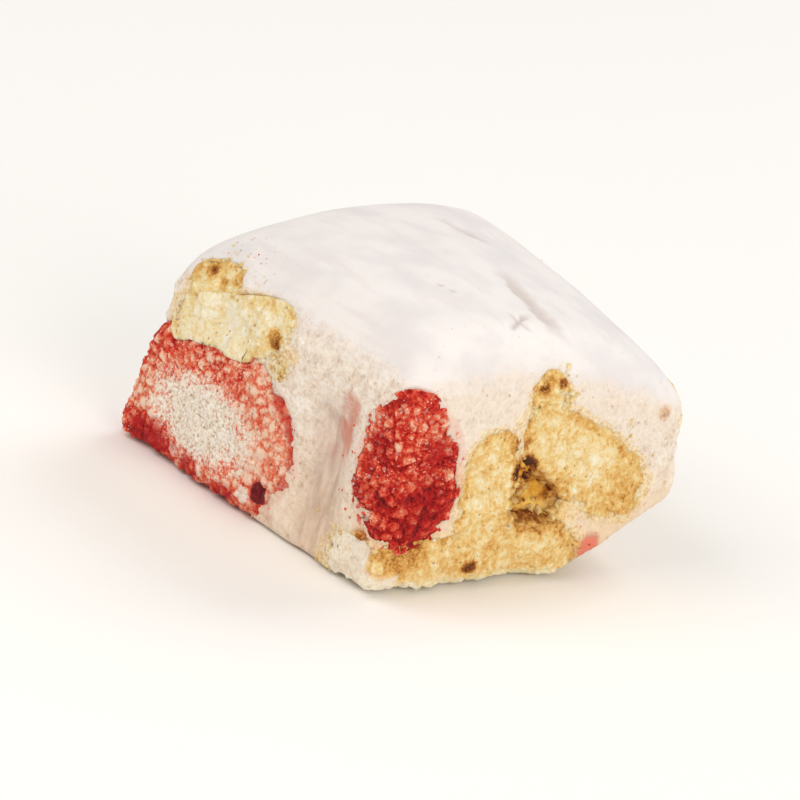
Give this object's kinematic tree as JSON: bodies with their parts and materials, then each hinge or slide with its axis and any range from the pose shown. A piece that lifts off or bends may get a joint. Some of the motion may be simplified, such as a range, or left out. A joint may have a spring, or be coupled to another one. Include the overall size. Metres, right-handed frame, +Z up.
{
  "type": "snowflake crisp",
  "caption": "Hand-cut block of white marshmallow nougat with freeze-dried strawberries and small round biscuits showing at its cut sides.",
  "frame": {"origin": "on the floor under the middle of the whole piece", "axes": "+X along the longer side, to the right when the side with the large strawberry faces the viewer; +Y away from that viewer; +Z up"},
  "size_m": [0.0424, 0.0402, 0.0274],
  "materials": {
    "nougat": "soft matte marshmallow nougat, off-white, with a smooth skin on top and torn, crumbly cut sides",
    "strawberry": "dry, granular freeze-dried fruit, deep red at the skin and pale at the core",
    "biscuit": "dry, porous biscuit crumb, pale cream inside and golden at the rim"
  },
  "bodies": {
    "root": {"nougat": "nougat", "strawberry_front": "strawberry", "strawberry_corner": "strawberry", "strawberry_back": "strawberry", "biscuit_front": "biscuit", "crumb_front": "biscuit", "biscuit_low": "biscuit", "biscuit_upright": "biscuit", "biscuit_slanting": "biscuit", "crumb_right": "biscuit", "biscuit_back_long": "biscuit", "biscuit_back_oval": "biscuit", "biscuit_left_long": "biscuit", "biscuit_left_oval": "biscuit"}
  },
  "joints": []
}
